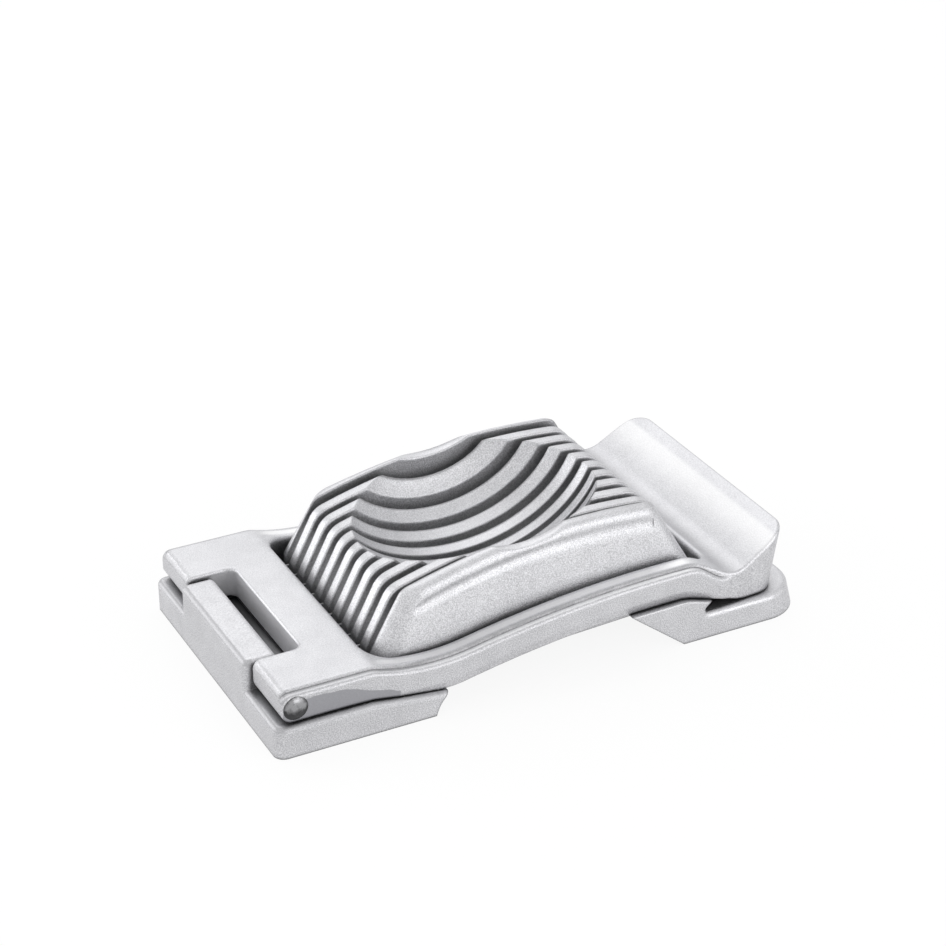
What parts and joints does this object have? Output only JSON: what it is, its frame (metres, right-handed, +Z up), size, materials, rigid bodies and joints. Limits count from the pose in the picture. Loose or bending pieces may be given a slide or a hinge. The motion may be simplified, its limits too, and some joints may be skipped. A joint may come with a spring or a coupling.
{
  "type": "egg slicer",
  "caption": "Cast aluminium egg slicer whose hinged frame, strung with cutting wires, closes over a slotted cradle with an egg-shaped bowl.",
  "frame": {"origin": "on the table below the middle of the base", "axes": "+X from the hinge end to the handle end, +Y across the slicer, +Z up from the table"},
  "size_m": [0.158, 0.084, 0.0384],
  "materials": {
    "cast_aluminium": "bead-blasted casting, fine matt grain",
    "pin_steel": "turned and domed steel",
    "wire_steel": "bright drawn stainless wire",
    "ferrule_steel": "crimped stainless tube"
  },
  "bodies": {
    "base": {"base_casting": "cast_aluminium"},
    "frame": {"cutting_frame": "cast_aluminium", "hinge_pin": "pin_steel", "wire_01": "wire_steel", "wire_02": "wire_steel", "wire_03": "wire_steel", "wire_04": "wire_steel", "wire_05": "wire_steel", "wire_06": "wire_steel", "wire_07": "wire_steel", "wire_08": "wire_steel", "wire_09": "wire_steel", "wire_10": "wire_steel", "hinge_ferrule_01": "ferrule_steel", "hinge_ferrule_02": "ferrule_steel", "hinge_ferrule_03": "ferrule_steel", "hinge_ferrule_04": "ferrule_steel", "hinge_ferrule_05": "ferrule_steel", "hinge_ferrule_06": "ferrule_steel", "hinge_ferrule_07": "ferrule_steel", "hinge_ferrule_08": "ferrule_steel", "hinge_ferrule_09": "ferrule_steel", "hinge_ferrule_10": "ferrule_steel", "handle_ferrule_01": "ferrule_steel", "handle_ferrule_02": "ferrule_steel", "handle_ferrule_03": "ferrule_steel", "handle_ferrule_04": "ferrule_steel", "handle_ferrule_05": "ferrule_steel", "handle_ferrule_06": "ferrule_steel", "handle_ferrule_07": "ferrule_steel", "handle_ferrule_08": "ferrule_steel", "handle_ferrule_09": "ferrule_steel", "handle_ferrule_10": "ferrule_steel"}
  },
  "joints": [
    {"name": "frame_hinge", "type": "hinge", "parent": "base", "child": "frame", "pos_m": [-0.0732, 0, 0.0137], "axis": [0, -1, 0], "range_deg": [0, 105]}
  ]
}
